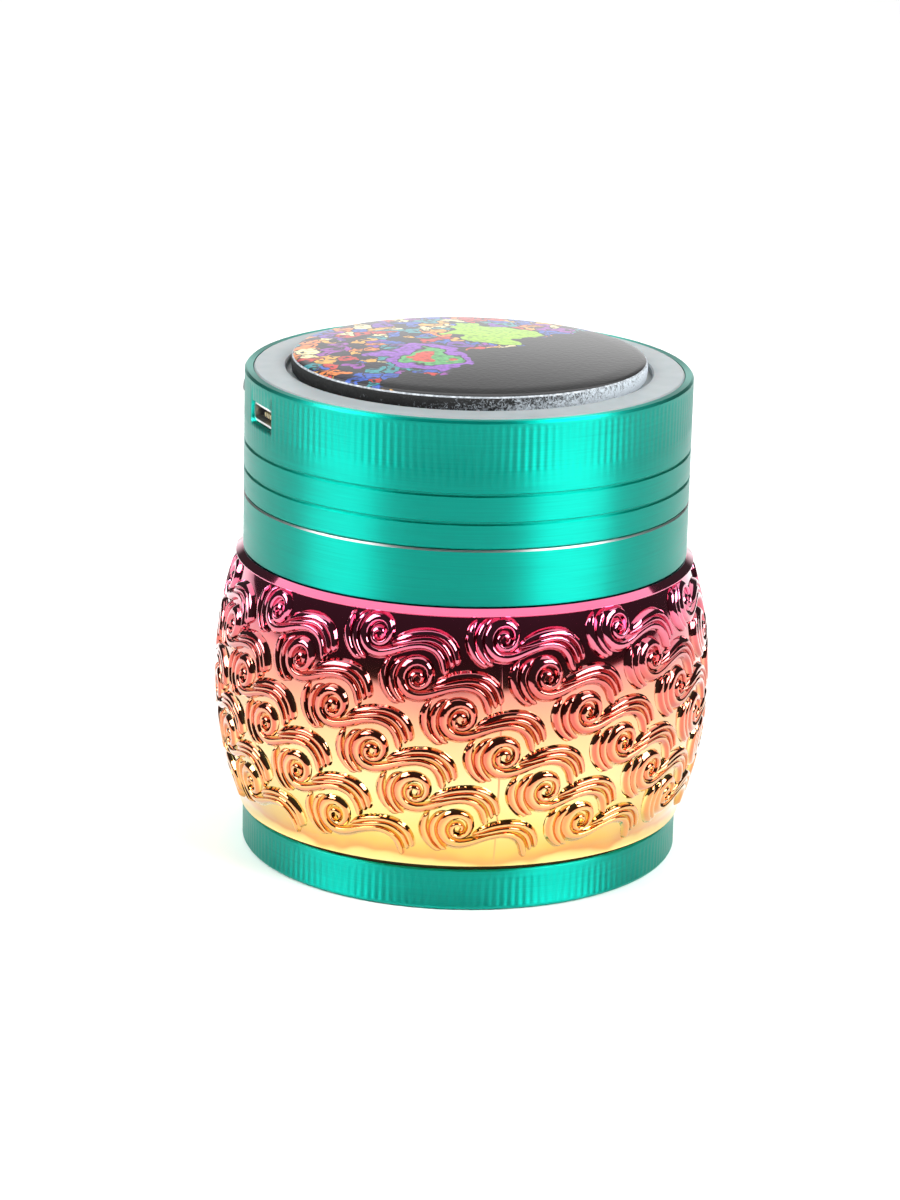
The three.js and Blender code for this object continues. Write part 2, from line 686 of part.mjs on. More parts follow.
function buttonCap() {
  const flangeOuter = flangeInner + BUTTON_FLANGE;
  const stem = cylinder(BUTTON_RADIUS, flangeInner, BODY_RADIUS + BUTTON_PROUD, BUTTON_SIDES);
  const flange = cylinder(BUTTON_FLANGE_RADIUS, flangeInner, flangeOuter, BUTTON_SIDES);
  const cap = join(solid(stem), solid(flange));
  return cap.rotate([0, 90, 0]).translate([0, 0, portHeight]);
}

function buttonSwitch() {
  const front = flangeInner - BUTTON_TRAVEL - BUTTON_PLAY;
  const [length, width, height] = SWITCH_SIZE;
  const middle = boardTop + SOLDER_GAP + height / 2;
  const body = radialBlock(SWITCH_SIZE, front - SWITCH_NUB - length, middle);
  const nub = radialBlock([length, width / 4, height / 3], front - length, portHeight);
  return join(solid(body), solid(nub));
}

// ---------------------------------------------------------------- assembly

const grinder = new THREE.Group();
grinder.name = 'herb_grinder';

const tray = new THREE.Group();
tray.add(piece('base_tray', trayBody(), tealAnodised));
tray.add(piece('tray_seal', seal(trayTop - SEAL_SUNK), silicone));

const jar = new THREE.Group();
jar.add(piece('jar_drum', jarBody(), platedZinc));
jar.add(piece('sieve_screen', sieve(), steel));
jar.add(piece('sieve_clip', sieveClip(), steel));
jar.add(piece('jar_seal', seal(jarTop - SEAL_SUNK), silicone));

const chamber = new THREE.Group();
chamber.add(piece('chamber_shell', chamberBody(), tealAnodised));
chamber.add(piece('chamber_magnet', chamberMagnet(), nickel));

const lid = new THREE.Group();
lid.add(piece('slip_ring', slipRing(), nylon));
lid.add(piece('lid_shell', lidBody(), tealAnodised));
lid.add(piece('lid_magnet', lidMagnet(), nickel));
lid.add(piece('light_ring', lightRing(), frosted));
lid.add(piece('picture_disc', pictureDisc(), padBlack));

const circuit = new THREE.Group();
circuit.add(piece('led_board', board(), boardGreen));
for (let i = 0; i < LED_COUNT; i += 1) {
  const spoke = new THREE.Group();
  spoke.rotation.z = facing(LED_FIRST + i * LED_STEP);
  const light = piece(`led_${i + 1}`, led(), ledYellow);
  light.position.x = pocketRadius - LED_INSET;
  spoke.add(light);
  circuit.add(spoke);
}
screwAngles.forEach((angle, i) => {
  const spoke = new THREE.Group();
  spoke.rotation.z = facing(angle);
  const screw = piece(`board_screw_${i + 1}`, boardScrew(), steel);
  screw.position.x = SCREW_RING_RADIUS;
  spoke.add(screw);
  circuit.add(spoke);
});
circuit.add(piece('battery_cell', cell(), cellSilver));
circuit.add(piece('battery_lead_red', lead(1), redWire));
circuit.add(piece('battery_lead_black', lead(-1), blackWire));
const driver = piece('charge_chip', chip(), blackPlastic);
driver.position.set(CHIP_PLACE[0], CHIP_PLACE[1], 0);
circuit.add(driver);
lid.add(circuit);

const port = new THREE.Group();
port.rotation.z = facing(PORT_ANGLE);
port.add(piece('usb_socket', socketShell(), nickel));
port.add(piece('usb_tongue', socketTongue(), blackPlastic));
lid.add(port);

const push = new THREE.Group();
push.rotation.z = facing(BUTTON_ANGLE);
push.add(piece('light_button', buttonCap(), buttonGrey));
push.add(piece('button_switch', buttonSwitch(), blackPlastic));
lid.add(push);

grinder.add(tray, jar, chamber, lid);

export default grinder;
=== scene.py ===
import math

import bmesh
import bpy
from mathutils import Matrix, Vector


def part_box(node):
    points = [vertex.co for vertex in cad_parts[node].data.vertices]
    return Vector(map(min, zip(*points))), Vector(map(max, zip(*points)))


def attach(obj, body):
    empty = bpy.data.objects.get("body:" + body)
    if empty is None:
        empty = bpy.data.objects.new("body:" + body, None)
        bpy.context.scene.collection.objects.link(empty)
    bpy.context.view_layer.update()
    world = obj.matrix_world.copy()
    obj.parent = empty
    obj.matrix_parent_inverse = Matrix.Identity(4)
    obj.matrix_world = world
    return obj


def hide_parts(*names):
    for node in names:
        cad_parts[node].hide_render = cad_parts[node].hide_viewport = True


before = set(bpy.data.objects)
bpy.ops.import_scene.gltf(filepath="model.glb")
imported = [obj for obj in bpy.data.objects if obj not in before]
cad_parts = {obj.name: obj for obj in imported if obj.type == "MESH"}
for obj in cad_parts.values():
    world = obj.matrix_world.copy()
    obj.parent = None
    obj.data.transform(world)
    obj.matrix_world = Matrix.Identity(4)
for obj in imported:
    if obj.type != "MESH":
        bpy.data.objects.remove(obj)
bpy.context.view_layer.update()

MM = 0.001

# ---------------------------------------------------------------- studio
# A plain white table under a wide scrim and two soft boxes, one on the left and one on the right,
# with a bright wall behind and a dark room in front, so that mirror metal gets light and dark.

camera = bpy.data.objects.new("camera", bpy.data.cameras.new("camera"))
bpy.context.scene.collection.objects.link(camera)
bpy.context.scene.camera = camera
camera.data.sensor_width = 36
camera.data.lens = 116.26
CAMERA_DISTANCE = 553.8 * MM
CAMERA_TILT = math.radians(16.493)
CAMERA_ROLL = math.radians(1.403)
look = Vector((0, math.cos(CAMERA_TILT), -math.sin(CAMERA_TILT)))
rise = Vector((0, math.sin(CAMERA_TILT), math.cos(CAMERA_TILT)))
# the lens looks a little to the left of the axis, just under half way up
aim = Vector((-1.931 * MM, 0, 34 * MM)) + rise * 1.281 * MM
place = Matrix.Translation(aim - look * CAMERA_DISTANCE)
tilt = Matrix.Rotation(math.pi / 2 - CAMERA_TILT, 4, "X")
camera.matrix_world = place @ tilt @ Matrix.Rotation(CAMERA_ROLL, 4, "Z")
camera.data.clip_start = 0.01
camera.data.clip_end = 20

bpy.context.scene.view_settings.view_transform = "Standard"


def linear(code):
    """An sRGB hex colour as linear red, green, blue and alpha."""
    values = [int(code[i : i + 2], 16) / 255 for i in (1, 3, 5)]
    return (*(v / 12.92 if v <= 0.04045 else ((v + 0.055) / 1.055) ** 2.4 for v in values), 1)


def add(tree, kind, settings=None, inputs=None, **more):
    """Adds a node and sets its properties and its inputs. An input goes by its name or its number,
    and takes a value or another node's socket."""
    node = tree.nodes.new(kind)
    for name, value in (settings or {}).items():
        setattr(node, name, value)
    named = {name.replace("_", " "): value for name, value in more.items()}
    for key, value in {**(inputs or {}), **named}.items():
        if isinstance(value, bpy.types.NodeSocket):
            tree.links.new(value, node.inputs[key])
        else:
            node.inputs[key].default_value = value
    return node


def set_stops(ramp, stops):
    """Gives a colour ramp its stops as (place, sRGB hex) pairs."""
    colours = ramp.color_ramp.elements
    while len(colours) < len(stops):
        colours.new(0.5)
    for colour, (at, code) in zip(colours, stops):
        colour.position = at
        colour.color = linear(code)


def finish(name, **shader):
    """A new material with its shader set: the tree and the shader node come back with it."""
    made = bpy.data.materials.new(name)
    made.use_nodes = True
    tree = made.node_tree
    tree.nodes.clear()
    shade = add(tree, "ShaderNodeBsdfPrincipled", **shader)
    add(tree, "ShaderNodeOutputMaterial", Surface=shade.outputs["BSDF"])
    return made, tree, shade


def mottled(name, first, second, grain, depth, **shader):
    """A finish whose colour wanders between two shades, with a fine grain of a size and a depth
    given in millimetres."""
    made, tree, shade = finish(name, **shader)
    place = add(tree, "ShaderNodeTexCoord")
    specks = add(
        tree, "ShaderNodeTexNoise", Vector=place.outputs["Object"],
        Scale=1 / (grain * MM), Detail=3.0,
    )
    shades = add(tree, "ShaderNodeValToRGB", Fac=specks.outputs["Fac"])
    set_stops(shades, [(0.35, first), (0.65, second)])
    tree.links.new(shades.outputs["Color"], shade.inputs["Base Color"])
    bump = add(
        tree, "ShaderNodeBump", Height=specks.outputs["Fac"], Strength=0.7, Distance=depth * MM,
    )
    tree.links.new(bump.outputs["Normal"], shade.inputs["Normal"])
    return made


table = bmesh.new()
bmesh.ops.create_grid(table, x_segments=1, y_segments=1, size=1.5)
table_mesh = bpy.data.meshes.new("table_top")
table.to_mesh(table_mesh)
table_top = bpy.data.objects.new("table_top", table_mesh)
bpy.context.scene.collection.objects.link(table_top)
# matt coated card: its pulp shows only as a faint cloudiness
table_mesh.materials.append(mottled("white_card", "#F6F6F5", "#F8F8F7", 90, 0, Roughness=0.9))


def soft_box(name, place, target, width, height, power):
    """An even, flat light aimed at a point."""
    lamp = bpy.data.lights.new(name, "AREA")
    lamp.shape = "RECTANGLE"
    lamp.size = width
    lamp.size_y = height
    lamp.energy = power
    made = bpy.data.objects.new(name, lamp)
    bpy.context.scene.collection.objects.link(made)
    made.location = place
    made.rotation_euler = (Vector(target) - Vector(place)).to_track_quat("-Z", "Y").to_euler()


soft_box("soft_box_left", (-0.76, -0.24, 0.64), (0, 0, 0.04), 0.66, 0.46, 10)
soft_box("soft_box_right", (0.70, -0.42, 0.64), (0, 0, 0.04), 0.7, 0.46, 13.5)
soft_box("ceiling_scrim", (0, 1.4, 2.3), (0, 1.4, 0), 4.6, 3.5, 78)

world = bpy.data.worlds.new("studio")
bpy.context.scene.world = world
world.use_nodes = True
sky = world.node_tree
sky.nodes.clear()
way = add(sky, "ShaderNodeTexCoord")
axes = add(sky, "ShaderNodeSeparateXYZ", Vector=way.outputs["Generated"])
back = add(
    sky, "ShaderNodeMapRange", {"interpolation_type": "SMOOTHSTEP"}, Value=axes.outputs["Y"],
    From_Min=0.89, From_Max=0.99, To_Min=0.06, To_Max=1.9,
)
# past the table's edge the lens sees a white backdrop, and the metal sees the dark room
BACKDROP = 1.22
rays = add(sky, "ShaderNodeLightPath")
seen = add(
    sky, "ShaderNodeMix", {"data_type": "FLOAT"},
    {0: rays.outputs["Is Camera Ray"], 2: back.outputs["Result"], 3: BACKDROP},
)
air = add(sky, "ShaderNodeBackground", Strength=seen.outputs[0])
add(sky, "ShaderNodeOutputWorld", Surface=air.outputs["Background"])

# ---------------------------------------------------------------- tray
# A shallow dish turned from aluminium bar, with a fluted grip band and a screwed neck that goes up
# into the jar. It is bright dipped and anodised teal, and fine turning marks show through.


def bare_mesh(name, bm, sharp):
    """A mesh from a bmesh, smooth but for its sharp edges."""
    mesh = bpy.data.meshes.new(name)
    bm.to_mesh(mesh)
    bm.free()
    for face in mesh.polygons:
        face.use_smooth = True
    mesh.set_sharp_from_angle(angle=math.radians(sharp))
    return mesh


def new_piece(name, bm, body, finishes, replaced=(), sharp=32, holes=None):
    """Makes a bmesh an object that rides on a body. What is in holes is cut out of it first."""
    piece = bpy.data.objects.new(name, bare_mesh(name, bm, sharp))
    for made in finishes:
        piece.data.materials.append(made)
    bpy.context.scene.collection.objects.link(piece)
    if holes:
        cutter = bpy.data.objects.new("cutter", bare_mesh("cutter", holes, sharp))
        bpy.context.scene.collection.objects.link(cutter)
        cut = piece.modifiers.new("cut", "BOOLEAN")
        cut.object = cutter
        solid = piece.evaluated_get(bpy.context.evaluated_depsgraph_get())
        whole, piece.data = piece.data, bpy.data.meshes.new_from_object(solid)
        piece.modifiers.clear()
        bpy.data.meshes.remove(whole)
        bpy.data.meshes.remove(cutter.data)
    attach(piece, body)
    if replaced:
        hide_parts(*replaced)
    return piece


def spun(bm, outline, steps):
    """Turns a closed outline of (radius, height) points in millimetres about the Z axis."""
    count = len(outline)
    sheet = bmesh.ops.create_grid(bm, x_segments=steps, y_segments=count, size=0.5)["verts"]
    for vert in sheet:
        angle = vert.co.x * math.tau
        radius, height = outline[round((vert.co.y + 0.5) * count) % count]
        vert.co = (radius * math.cos(angle) * MM, radius * math.sin(angle) * MM, height * MM)
    bmesh.ops.remove_doubles(bm, verts=sheet, dist=0.001 * MM)
    bmesh.ops.recalc_face_normals(bm, faces=bm.faces[:])


def break_edges(bm, width, angle=28):
    """Takes a fine break off every sharp edge."""
    sharp = [
        edge for edge in bm.edges
        if len(edge.link_faces) == 2 and edge.calc_face_angle() > math.radians(angle)
    ]
    bmesh.ops.bevel(
        bm, geom=sharp, offset=width * MM, offset_type="OFFSET", affect="EDGES", segments=2,
        profile=0.5, material=-1, clamp_overlap=True,
    )


FLUTES = 184
FLUTE_STEPS = 5
FLUTE_SHAPE = (0, 0, 0.6, 1, 0.6)
FLUTE_DEPTH = 0.055


def cut_flutes(bm, radius, low, high):
    """Sinks the flutes into the points of a band that lie between two heights."""
    for vert in bm.verts:
        reach = vert.co.xy.length
        if abs(reach - radius * MM) < 0.02 * MM and low * MM < vert.co.z < high * MM:
            step = round(math.atan2(vert.co.y, vert.co.x) / math.tau * FLUTES * FLUTE_STEPS)
            sunk = FLUTE_SHAPE[step % FLUTE_STEPS] * FLUTE_DEPTH * MM
            vert.co.xy *= (reach - sunk) / reach


def screw_ridge(bm, surface, out, low, turns, start):
    """Winds a closed strip of the ridge's section up the wall and fades it out at both ends."""
    lead, depth, bite, root, crest, fade = 2, 0.7, 0.3, 0.55, 0.25, 0.3
    section = [
        (-bite, -root), (0, -root), (depth, -crest), (depth, crest), (0, root), (-bite, root),
    ]
    count = len(section)
    strip = bmesh.ops.create_grid(
        bm, x_segments=round(turns * 72), y_segments=count, size=0.5,
    )["verts"]
    for vert in strip:
        turn = (vert.co.x + 0.5) * turns
        reach, height = section[round((vert.co.y + 0.5) * count) % count]
        share = min(1, turn / fade, (turns - turn) / fade)
        radius = surface + out * (max(reach, 0) * share + min(reach, 0))
        angle = start + turn * math.tau
        rise = low + turn * lead + height
        vert.co = (radius * math.cos(angle) * MM, radius * math.sin(angle) * MM, rise * MM)
    bmesh.ops.remove_doubles(bm, verts=strip, dist=0.001 * MM)
    bmesh.ops.holes_fill(bm, edges=[e for e in bm.edges if e.is_boundary], sides=8)
    bmesh.ops.recalc_face_normals(bm, faces=bm.faces[:])


def dress(made, *nodes):
    """Gives parts kept as they are their finish."""
    for node in nodes:
        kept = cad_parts[node].data.materials
        kept.clear()
        kept.append(made)


def turned_anodising(name, colour):
    """Anodised aluminium: mirror-bright metal under dyed oxide, with turning marks round it that
    draw every reflection out into an upright streak."""
    made, tree, shade = finish(
        name, Base_Color=linear(colour), Metallic=1, Roughness=0.5, Anisotropic=0.95,
        Anisotropic_Rotation=0.25, Coat_Weight=0.14, Coat_Roughness=0.2,
    )
    place = add(tree, "ShaderNodeTexCoord")
    round_axis = add(tree, "ShaderNodeTangent", {"direction_type": "RADIAL", "axis": "Z"})
    tree.links.new(round_axis.outputs["Tangent"], shade.inputs["Tangent"])
    marks = add(
        tree, "ShaderNodeMapping", Vector=place.outputs["Object"],
        Scale=(0.07 / MM, 0.07 / MM, 5 / MM),
    )
    lines = add(
        tree, "ShaderNodeTexNoise", Vector=marks.outputs["Vector"],
        Scale=1.0, Detail=4.0, Roughness=0.75,
    )
    bump = add(
        tree, "ShaderNodeBump", Height=lines.outputs["Fac"],
        Strength=0.6, Distance=0.01 * MM,
    )
    tree.links.new(bump.outputs["Normal"], shade.inputs["Normal"])
    tone = add(tree, "ShaderNodeValToRGB", Fac=lines.outputs["Fac"])
    dark, light = tone.color_ramp.elements
    dark.position, light.position = 0.3, 0.7
    dark.color = tuple(0.86 * part for part in linear(colour)[:3]) + (1,)
    light.color = tuple(min(1, 1.14 * part) for part in linear(colour)[:3]) + (1,)
    tree.links.new(tone.outputs["Color"], shade.inputs["Base Color"])
    polish = add(
        tree, "ShaderNodeMapRange", Value=lines.outputs["Fac"],
        From_Min=0.3, From_Max=0.7, To_Min=0.39, To_Max=0.48,
    )
    tree.links.new(polish.outputs["Result"], shade.inputs["Roughness"])
    return made


# clear oxide dyed teal over bright turned metal, so light gathers in upright bands of deep colour
teal = turned_anodising("anodised_aluminium_teal", "#02A897")

TRAY_RADIUS = 31.23
TRAY_TOP = 5.95
NECK_CORE = 27.8
NECK_INNER = 26.1
SEAL_GROOVE_INNER = 29.15
SEAL_GROOVE_OUTER = 30.85
LOWER_SCREW = 7.15
UPPER_SCREW = 39.5
SCREW_TURNS = 1.5
TURN_STEPS = 180

tray = bmesh.new()
spun(tray, [
    (0, 0), (22, 0), (22.3, 0.35), (26.5, 0.35), (26.8, 0), (30.75, 0), (31.05, 0.18),
    (TRAY_RADIUS, 0.5), (TRAY_RADIUS, 0.62), (TRAY_RADIUS, 0.72), (TRAY_RADIUS, 4.55),
    (TRAY_RADIUS, 4.7), (TRAY_RADIUS, 5.72), (31.05, TRAY_TOP), (SEAL_GROOVE_OUTER, TRAY_TOP),
    (SEAL_GROOVE_OUTER, 5.45), (SEAL_GROOVE_INNER, 5.45), (SEAL_GROOVE_INNER, TRAY_TOP),
    (NECK_CORE, TRAY_TOP), (NECK_CORE, 10.75),
    (27.5, 11.05), (NECK_INNER, 11.05), (NECK_INNER, 2.3), (25.9, 1.7), (25.1, 1.3), (0, 1.3),
], FLUTES * FLUTE_STEPS)
cut_flutes(tray, TRAY_RADIUS, 0.7, 4.6)
screw_ridge(tray, NECK_CORE, 1, LOWER_SCREW, SCREW_TURNS, 0)
new_piece("tray_dish", tray, "tray", [teal], ["base_tray"])

# ---------------------------------------------------------------- seals
# Two flat washers of dark silicone, one on the tray's shoulder and one on the jar's, that the
# screwed pieces close down on. Only their edges show, as dark lines: their dark maroon is painted
# shade, standing in for the shadow in the joints.

# moulded silicone rubber is dull, with a slight bloom on it; its dark maroon is painted shade for
# the joints
seal_painted_shade = mottled("silicone_painted_shade", "#2A0E18", "#381822", 0.5, 0.01, Roughness=0.55)
SEAL_INNER = 29.25
SEAL_OUTER = 30.75
for node in ("tray_seal", "jar_seal"):
    low, high = (corner.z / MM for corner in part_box(node))
    washer = bmesh.new()
    outline = [(SEAL_INNER, low), (SEAL_OUTER, low), (SEAL_OUTER, high), (SEAL_INNER, high)]
    spun(washer, outline, TURN_STEPS)
    break_edges(washer, 0.08)
    new_piece(node + "_washer", washer, node, [seal_painted_shade], [node])

# ---------------------------------------------------------------- jar
# A barrel cast in zinc, with rows of curling waves standing out of its wall. It is polished and
# plated to a mirror, and dyed so that pink at the top runs through red and orange to yellow.

JAR_LOW = 6.25
JAR_TOP = 43.4
BEAD_LOW = 42.5
BARREL_MIDDLE = 25.275
CREST_RADIUS = 35.3
END_RADIUS = 31.75
RELIEF = 0.62
BORE = 28.75
sag = CREST_RADIUS - END_RADIUS
half = BARREL_MIDDLE - JAR_LOW
BARREL_ARC = (half * half + sag * sag) / (2 * sag)


def ground(height):
    """The radius of the plain wall between the waves."""
    drop = BARREL_ARC - math.sqrt(BARREL_ARC**2 - (height - BARREL_MIDDLE) ** 2)
    edge = min(1, max(0, (height - JAR_LOW) / 1.2))
    return CREST_RADIUS - drop - RELIEF * math.sin(edge * math.pi / 2)


def steps_between(low, high, count):
    """Evenly spaced heights from low to high."""
    return [low + (high - low) * i / count for i in range(count + 1)]


drum = bmesh.new()
wall = [(ground(z), z) for z in steps_between(JAR_LOW + 0.25, BEAD_LOW - 0.15, 40)]
inside = [(ground(z) - 2, z) for z in steps_between(36.2, 15.2, 16)]
spun(drum, [
    (BORE, JAR_LOW), (31.45, JAR_LOW), (31.7, JAR_LOW + 0.12), *wall,
    (32.05, BEAD_LOW), (32.38, BEAD_LOW + 0.05), (32.5, BEAD_LOW + 0.16), (32.5, BEAD_LOW + 0.26),
    (31.55, JAR_TOP + 0.1), (SEAL_GROOVE_OUTER, JAR_TOP + 0.14), (SEAL_GROOVE_OUTER, 42.9),
    (SEAL_GROOVE_INNER, 42.9), (SEAL_GROOVE_INNER, JAR_TOP), (BORE, JAR_TOP), (BORE, 38.4), *inside,
    (29.3, 13.6), (29.3, 12.1), (26.45, 12.1), (26.45, 11.3), (BORE, 11.3),
], TURN_STEPS * 2)
screw_ridge(drum, BORE, -1, LOWER_SCREW, SCREW_TURNS, math.pi)
screw_ridge(drum, BORE, -1, UPPER_SCREW, SCREW_TURNS, math.pi)

# one wave, laid out flat in millimetres from its eye: (across, up, half width) along each ridge
WAVE_CREST = [(1.9, -0.8, 0.06), (3.0, -0.1, 0.3), (4.7, 0.58, 0.4), (6.5, 0.88, 0.42),
              (8.2, 0.84, 0.42), (9.7, 0.25, 0.44), (10.75, -0.8, 0.46), (11.2, -1.9, 0.42),
              (11.35, -2.8, 0.36), (11.25, -3.3, 0.08)]
WAVE_MIDDLE = [(2.0, -1.05, 0.06), (3.3, -0.62, 0.3), (4.9, -0.2, 0.4), (6.5, 0.06, 0.42),
               (7.9, 0.02, 0.42), (9.1, -0.5, 0.42), (9.95, -1.4, 0.42), (10.4, -2.4, 0.4),
               (10.6, -3.2, 0.34), (10.55, -3.7, 0.08)]
WAVE_CURL = [(9.65, -4.7, 0.08), (9.65, -4.2, 0.4), (9.5, -3.4, 0.48),
             (9.15, -2.35, 0.52), (8.2, -1.3, 0.52), (6.6, -0.82, 0.5), (4.9, -0.98, 0.5),
             (3.2, -1.45, 0.52), (1.6, -2.0, 0.58), (0, -2.28, 0.66), (-1.5, -1.85, 0.74),
             (-2.4, -0.6, 0.78), (-2.3, 0.9, 0.76), (-1.3, 2.1, 0.7), (0.15, 2.4, 0.6),
             (1.3, 1.75, 0.52), (1.62, 0.5, 0.46), (1.1, -0.65, 0.44), (0, -1.1, 0.44),
             (-0.95, -0.6, 0.42), (-1.0, 0.4, 0.4), (-0.25, 0.95, 0.36), (0.5, 0.55, 0.32),
             (0.45, -0.15, 0.26), (0.05, -0.35, 0.16)]
WAVE_LEAF = [(-1.9, 2.85, 0.06), (-2.6, 2.5, 0.28), (-3.2, 1.85, 0.42), (-3.75, 0.6, 0.52),
             (-3.7, -0.9, 0.56), (-3.05, -2.15, 0.5), (-2.3, -2.95, 0.42), (-1.75, -3.25, 0.08)]
WAVE_OUTER_LEAF = [(-4.1, 2.7, 0.06), (-4.5, 2.2, 0.3), (-4.85, 1.4, 0.46), (-5.05, 0.2, 0.58),
                   (-4.75, -1.2, 0.6), (-4.0, -2.4, 0.5), (-3.1, -3.15, 0.42), (-2.5, -3.4, 0.08)]
RIDGE_HEIGHT = 0.72
# half a ridge's section from its foot to its crest, in half widths and heights, and how much of
# the darker, redder ridge colour it takes: painted shade on the flanks, painted highlight at the
# paler foot and crest
RIDGE_SECTION = [
    (1.38, -0.25, 0), (1.34, 0.02, 0), (1.05, 0.16, 0), (0.86, 0.54, 0.9), (0.5, 0.88, 1),
    (0, 1, 0.3),
]


def smooth_point(points, share):
    """A point on the smooth line through given points, share running from 0 to 1."""
    at = share * (len(points) - 1)
    i = min(int(at), len(points) - 2)
    t = at - i
    a, b, c, d = (Vector(points[min(max(k, 0), len(points) - 1)]) for k in range(i - 1, i + 3))
    bend = (2 * a - 5 * b + 4 * c - d) * t**2 + (3 * b - a - 3 * c + d) * t**3
    return 0.5 * (2 * b + (c - a) * t + bend)


def ridge(bm, points, along, height, lean):
    """One rounded ridge with a flared foot and a flat underside, its ends drawn to points. Its
    crest leans to one side, so that the other side is a long slope."""
    section = [(-side, up, ridge_shade) for side, up, ridge_shade in RIDGE_SECTION] + RIDGE_SECTION[-2::-1]
    count = len(section)
    # each point's share of the darker ridge colour: painted shade on the flanks, painted highlight
    # at foot and crest
    shade_layer = bm.verts.layers.float.get("ridge_shade") or bm.verts.layers.float.new("ridge_shade")
    made = bmesh.ops.create_grid(bm, x_segments=along, y_segments=count, size=0.5)["verts"]
    for vert in made:
        share = vert.co.x + 0.5
        side, up, vert[shade_layer] = section[round((vert.co.y + 0.5) * count) % count]
        here = smooth_point(points, share)
        ahead = smooth_point(points, min(1, share + 0.005))
        run = ahead - smooth_point(points, max(0, share - 0.005))
        across = Vector((-run.y, run.x)).normalized()
        slim = min(1, here.z / 0.35)
        side += lean * up * max(0, 1 - abs(side))
        flat = Vector((here.x, here.y)) + across * here.z * side
        vert.co = (flat.x, flat.y, height * up * slim if up > 0 else up * 0.6)
    return made


wave = bmesh.new()
ridge(wave, WAVE_CREST, 17, RIDGE_HEIGHT, -0.5)
ridge(wave, WAVE_MIDDLE, 15, RIDGE_HEIGHT * 0.95, -0.3)
ridge(wave, WAVE_CURL, 54, RIDGE_HEIGHT, -0.5)
ridge(wave, WAVE_LEAF, 14, RIDGE_HEIGHT * 0.95, 0.5)
ridge(wave, WAVE_OUTER_LEAF, 14, RIDGE_HEIGHT, 0.5)
bmesh.ops.remove_doubles(wave, verts=wave.verts[:], dist=0.01)
bmesh.ops.recalc_face_normals(wave, faces=wave.faces[:])

WAVES_ROUND = 12
WAVE_ROWS = 6
ROW_STEP = 5.36
TOP_ROW = 39.4
ROW_SHIFT = math.radians(10)
FIRST_WAVE = math.radians(-50)
FLAT_RADIUS = 34.6

waves = bmesh.new()
flat_wave = bpy.data.meshes.new("flat_wave")
wave.to_mesh(flat_wave)
wave.free()
for row in range(WAVE_ROWS):
    for number in range(WAVES_ROUND):
        start = len(waves.verts)
        waves.from_mesh(flat_wave)
        waves.verts.ensure_lookup_table()
        middle = FIRST_WAVE + row * ROW_SHIFT + number * math.tau / WAVES_ROUND
        for vert in waves.verts[start:]:
            angle = middle + vert.co.x / FLAT_RADIUS
            height = TOP_ROW - row * ROW_STEP + vert.co.y
            reach = (ground(height) + vert.co.z) * MM
            vert.co = (reach * math.sin(angle), -reach * math.cos(angle), height * MM)
bpy.data.meshes.remove(flat_wave)


def plated_zinc(name, wall_dyes, shaded_ridge_dyes):
    """Mirror plating on zinc under a clear dyed lacquer that changes colour down the jar. On the
    ridges it is mixed towards a darker, redder colour: painted shade on their flanks, and painted
    highlight where their foot and crest stay paler."""
    made, tree, shade = finish(
        name, Metallic=1, Roughness=0.07, Coat_Weight=1, Coat_Roughness=0.03, Coat_IOR=1.8,
    )
    place = add(tree, "ShaderNodeTexCoord")
    drift = add(
        tree, "ShaderNodeTexNoise", Vector=place.outputs["Object"],
        Scale=0.12 / MM, Detail=2.0,
    )
    height = add(tree, "ShaderNodeSeparateXYZ", Vector=place.outputs["Object"])
    sway = add(
        tree, "ShaderNodeMapRange", Value=drift.outputs["Fac"],
        From_Min=0.3, From_Max=0.7, To_Min=-0.8 * MM, To_Max=0.8 * MM,
    )
    level = add(
        tree, "ShaderNodeMath", {"operation": "ADD"},
        {0: height.outputs["Z"], 1: sway.outputs["Result"]},
    )
    share = add(
        tree, "ShaderNodeMapRange", Value=level.outputs["Value"],
        From_Min=JAR_LOW * MM, From_Max=JAR_TOP * MM,
    )
    # the ridges' painted shade and painted highlight, carried on the mesh
    painted_shade = add(tree, "ShaderNodeAttribute", {"attribute_name": "ridge_shade"})
    blend = add(tree, "ShaderNodeMix", {"data_type": "RGBA"}, {0: painted_shade.outputs["Fac"]})
    for dyes, key in ((wall_dyes, 6), (shaded_ridge_dyes, 7)):
        ramp = add(tree, "ShaderNodeValToRGB", Fac=share.outputs["Result"])
        set_stops(ramp, dyes)
        tree.links.new(ramp.outputs["Color"], blend.inputs[key])
    tree.links.new(blend.outputs[2], shade.inputs["Base Color"])
    return made


# hard plating with dye under lacquer: mirror reflections that take the dye's colour, white at their
# brightest where the lacquer itself reflects
plating = plated_zinc("plated_zinc_sunset", [
    (0, "#E2C870"), (0.025, "#DEBE60"), (0.04, "#D68A24"), (0.08, "#DEAC34"), (0.15, "#DEC05C"),
    (0.32, "#DEC680"), (0.5, "#DEAA6C"), (0.66, "#CA7454"), (0.8, "#B42440"), (1, "#DA4C80"),
], [
    # the ridges' darker, redder colours: painted shade
    (0, "#DE9A44"), (0.2, "#D87C28"), (0.38, "#CC5614"), (0.55, "#BC360C"), (0.7, "#B63426"),
    (0.85, "#C4506C"), (1, "#D04E84"),
])

